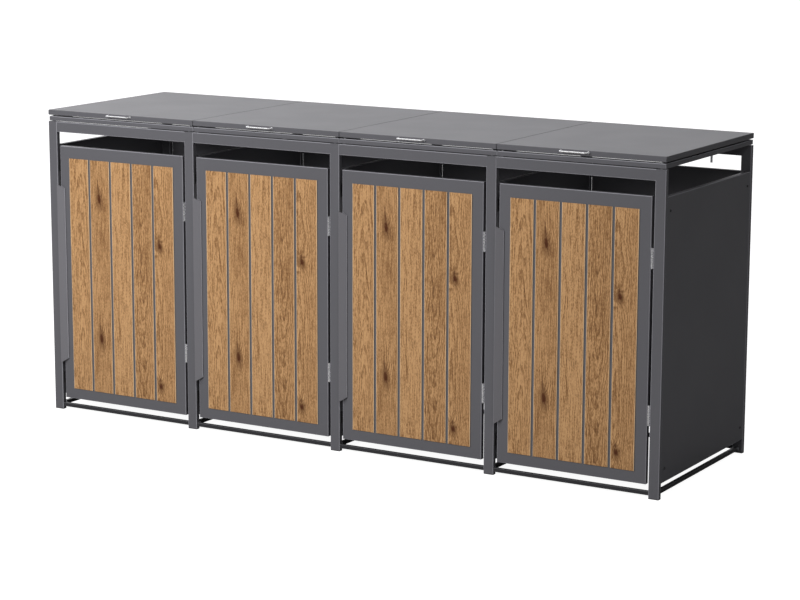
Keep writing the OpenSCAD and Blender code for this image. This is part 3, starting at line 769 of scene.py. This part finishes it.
def make_grips():
    """A flange riveted to the door, folded back over itself as a long lip with mitred ends."""
    half, slope, root, rivet_x = 340.5 * MM, 17 / 25.5, 21.5 * MM, 8 * MM
    outer, inner = grip_section()

    def ends(x):
        return -half - (root - x) * slope, half + (root - x) * slope

    for bay in BAYS:
        node = f"door_grip_{bay}"
        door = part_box(f"door_shell_{bay}")[0]
        low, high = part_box(node)
        bm = bmesh.new()
        place = axes((door.x, door.y, (low.z + high.z) / 2), RIGHT, BACK, UP)
        folded_sheet(bm, outer, inner, ends, place)
        for k in range(-2, 3):
            spot = place @ axes((rivet_x, -SHEET, k * (half - 40 * MM) / 2), RIGHT, UP, -BACK)
            dome = [(4, -0.3), (4, 0.2), (3.2, 0.8), (1.6, 1.2)]
            turned(bm, spot, [(r * MM, z * MM) for r, z in dome])
        # The grip takes the lighter coat, which is painted light
        steel(bm, f"{node}_strip", node, f"door_{bay}", material=COAT_GRIP_LIT)


def make_planks():
    """The planks on each door, each with its own stored grain coordinates."""
    gap, wood = 10 * MM, {}
    for bay in BAYS:
        node = f"door_planks_{bay}"
        low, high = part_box(node)
        width = (high.x - low.x - gap * (len(PLANKS) - 1)) / len(PLANKS)
        size = Vector((width, high.y - low.y, high.z - low.z))
        for plank in PLANKS:
            x = low.x + (plank - 1) * (width + gap)
            centre = Vector((x, low.y, low.z)) + size / 2
            bm = bmesh.new()
            place = axes((x, high.y, low.z), RIGHT, UP, -BACK)
            face = [(0, 0), (size.x, 0), (size.x, size.z), (0, size.z)]
            slab(bm, face, 0, size.y, place, edge=1.0 * MM)
            if plank not in wood:
                wood[plank] = oak(plank, size.x, size.z)
            name, door = f"door_{bay}_plank_{plank}", f"door_{bay}"
            obj = piece_from(bm, name, door, wood[plank], node)
            grain = obj.data.attributes.new("grain", "FLOAT_VECTOR", "POINT")
            for vertex, value in zip(obj.data.vertices, grain.data):
                value.vector = vertex.co - centre


def make_hinge_screws():
    """Small screws in the leaves of the hinges, on the body that each leaf belongs to."""
    radius, tall, socket, apart = 3.0 * MM, 0.9 * MM, 1.1 * MM, 26 * MM
    leaf_length, leaf_thickness = 72 * MM, 2 * MM
    door_inset, off_door_pin, off_lid_pin = 5.5 * MM, 3.5 * MM, 11.8 * MM
    for bay in BAYS:
        low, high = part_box(f"door_hinge_leaf_{bay}")
        pin_x = (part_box(f"door_shell_{bay}")[1].x + bay_ends(bay)[1]) / 2
        y = high.y - door_inset
        centres = (low.z + leaf_length / 2, high.z - leaf_length / 2)
        for owner, body, side in (("door", f"door_{bay}", -1), ("post", BODY, 1)):
            bm = bmesh.new()
            for z in centres:
                for dz in (-apart, 0, apart):
                    spot = (pin_x + side * off_door_pin, y, z + dz)
                    head(bm, facing_at(spot, -side * RIGHT), radius, tall, socket)
            piece_from(bm, f"{owner}_hinge_screws_{bay}", body, HINGE)
        low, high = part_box(f"lid_hinge_leaf_{bay}")
        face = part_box(f"lid_shell_{bay}")[1].y + leaf_thickness
        pin_z = (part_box(f"roof_frame_{bay}")[1].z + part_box(f"lid_shell_{bay}")[0].z) / 2
        centres = (low.x + leaf_length / 2, high.x - leaf_length / 2)
        for owner, body, dz in (("lid", f"lid_{bay}", off_lid_pin), ("roof", BODY, -off_lid_pin)):
            bm = bmesh.new()
            for x in centres:
                for dx in (-apart, 0, apart):
                    head(bm, facing_at((x + dx, face, pin_z + dz), BACK), radius, tall, socket)
            piece_from(bm, f"{owner}_hinge_screws_{bay}", body, HINGE)


def finish_cad_nodes():
    """Gives the CAD nodes that stay their materials, and breaks their edges."""
    edges = {
        "post_lugs": 0.4, "frame_bolts": 0.35, "lid_buffer_pads": 0.8, "lid_buffer_studs": 0.4,
        "magnet_catches": 0.8, "door_hinge_post_leaves": 0.3, "lid_hinge_frame_leaves": 0.3,
    }
    for bay in BAYS:
        edges[f"door_hinge_leaf_{bay}"] = edges[f"lid_hinge_leaf_{bay}"] = 0.3
    slots = {name: obj.material_slots[0].material.name for name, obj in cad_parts.items()}
    for name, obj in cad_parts.items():
        for slot in obj.material_slots:
            slot.link = "OBJECT"
            slot.material = SLOT_MATERIALS.get(slots[name], COAT)
        if name in edges:
            obj.modifiers.new("weld", "WELD").merge_threshold = 1e-6
            break_edges(obj, edges[name] * MM)


finish_cad_nodes()
make_posts()
make_rails()
make_side_floor_rails()
make_foot_caps()
make_panels()
make_panel_screws()
make_roof_frames()
make_lids()
make_lid_handles()
make_door_shells()
make_grips()
make_planks()
make_hinge_screws()


# ---- Camera, floor and light ----


CAMERA_LENS = 108.1
CAMERA_PLACE = (4.614, -7.762, 2.276)
CAMERA_TURN = (11.06, 30.42, 0.17)  # degrees down, around and rolled
FLOOR_GLOW = 0.94
FILL_POWER = 1.2
FILL_SIZE = 0.15
FILL_HEIGHT = 0.7
WORLD_SEEN = 1.04
WORLD_TINT = (0.975, 0.970, 1.0)
WORLD_GLOW = 1.42
GLOW_TOWARDS = (245, 18)
SUNS = {
    # azimuth, elevation, strength, spread
    "key_right": (35, 38, 0.36, 25),
    "key_side": (52, 35, 0.47, 25),
    "key_left": (-34, 37, 0.70, 34),
    "rear": (235, 24, 0.16, 40),
    "rear_high": (180, 45, 0.65, 40),
}
SOFTBOXES = {
    # place, aim, size, power
    "softbox_left": ((-1.6, -3.6, 2.3), (-0.9, -0.3, 0.7), (1.6, 1.2), 96),
    "softbox_front": ((-0.5, -4.8, 2.6), (-0.3, -0.37, 0.7), (2.0, 1.5), 138),
}


def add_camera():
    """Stands at the front right, a little above the lids, and looks slightly down."""
    data = bpy.data.cameras.new("camera")
    data.sensor_width = 36
    data.lens = CAMERA_LENS
    data.clip_end = 200
    camera = bpy.data.objects.new("camera", data)
    bpy.context.scene.collection.objects.link(camera)
    down, around, roll = (math.radians(angle) for angle in CAMERA_TURN)
    turn = Euler((math.pi / 2 - down, 0, around)).to_matrix().to_4x4()
    camera.matrix_world = Matrix.Translation(CAMERA_PLACE) @ turn @ Matrix.Rotation(roll, 4, "Z")
    bpy.context.scene.camera = camera


def add_floor():
    """A pale floor. It looks white, but throws no light of its own, as dark cloths would."""
    t = material_tree("floor_pale")
    tone = t.span(t.noise(t.place(), scale=0.4, detail=2), 0.3, 0.7, 0.0, 1.0)
    seen = t.nodes.new("ShaderNodeLightPath").outputs["Is Camera Ray"]
    material = t.surface(
        t.mix(tone, (0.290, 0.290, 0.290), (0.300, 0.300, 0.300)),
        0.75,
        Emission_Color=(1, 1, 1, 1),
        Emission_Strength=t.math("MULTIPLY", seen, FLOOR_GLOW),
        Specular_IOR_Level=0.05,
    )
    bm = bmesh.new()
    bmesh.ops.create_circle(bm, cap_ends=True, segments=96, radius=70)
    mesh = bpy.data.meshes.new("floor")
    bm.to_mesh(mesh)
    bm.free()
    mesh.materials.append(material)
    floor = bpy.data.objects.new("floor", mesh)
    bpy.context.scene.collection.objects.link(floor)


def towards(azimuth, elevation):
    """Direction of a light; azimuth 0 is in front of the station and grows towards its right."""
    a, e = math.radians(azimuth), math.radians(elevation)
    return Vector((math.sin(a) * math.cos(e), -math.cos(a) * math.cos(e), math.sin(e)))


def add_light(name, kind, strength):
    data = bpy.data.lights.new(name, kind)
    data.energy = strength
    light = bpy.data.objects.new(name, data)
    light.rotation_mode = "QUATERNION"
    bpy.context.scene.collection.objects.link(light)
    return light


def add_sun(name, azimuth, elevation, strength, spread):
    """A distant soft light."""
    light = add_light(name, "SUN", strength)
    light.data.angle = math.radians(spread)
    light.rotation_quaternion = towards(azimuth, elevation).to_track_quat("Z", "Y")


def add_softbox(name, place, target, size, strength):
    """A soft panel that lights the front, but isn't mirrored in the lids seen from behind."""
    light = add_light(name, "AREA", strength)
    light.visible_glossy = False
    light.data.shape = "RECTANGLE"
    light.data.size, light.data.size_y = size
    light.location = place
    light.rotation_quaternion = (Vector(place) - Vector(target)).to_track_quat("Z", "Y")


def add_fill_lights():
    """A faint glow inside each bay, as light that comes back up from the floor."""
    for bay in BAYS:
        low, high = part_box(f"back_panel_{bay}")
        light = add_light(f"fill_bay_{bay}", "POINT", FILL_POWER)
        light.data.shadow_soft_size = FILL_SIZE
        light.location = ((low.x + high.x) / 2, 0, FILL_HEIGHT)


def add_world():
    """White to look at; as light, a wide glow low behind the station."""
    t = Tree(bpy.data.worlds.new("studio"))
    dot = t.nodes.new("ShaderNodeVectorMath")
    dot.operation = "DOT_PRODUCT"
    t.feed(dot.inputs[0], t.nodes.new("ShaderNodeTexCoord").outputs["Generated"])
    dot.inputs[1].default_value = towards(*GLOW_TOWARDS)
    glow = t.span(dot.outputs["Value"], 0.4, 1.0, 0.0, WORLD_GLOW)
    seen = t.nodes.new("ShaderNodeLightPath").outputs["Is Camera Ray"]
    background = t.nodes.new("ShaderNodeBackground")
    background.inputs["Color"].default_value = (*WORLD_TINT, 1)
    t.feed(background.inputs["Strength"], t.math("MAXIMUM", glow, t.math("MULTIPLY", seen, WORLD_SEEN)))
    out = t.nodes.new("ShaderNodeOutputWorld")
    t.links.new(background.outputs[0], out.inputs["Surface"])
    bpy.context.scene.world = t.owner


add_camera()
add_floor()
for name, (azimuth, elevation, strength, spread) in SUNS.items():
    add_sun(name, azimuth, elevation, strength, spread)
for name, (place, target, size, power) in SOFTBOXES.items():
    add_softbox(name, place, target, size, power)
add_fill_lights()
add_world()
bpy.context.scene.view_settings.view_transform = "Standard"
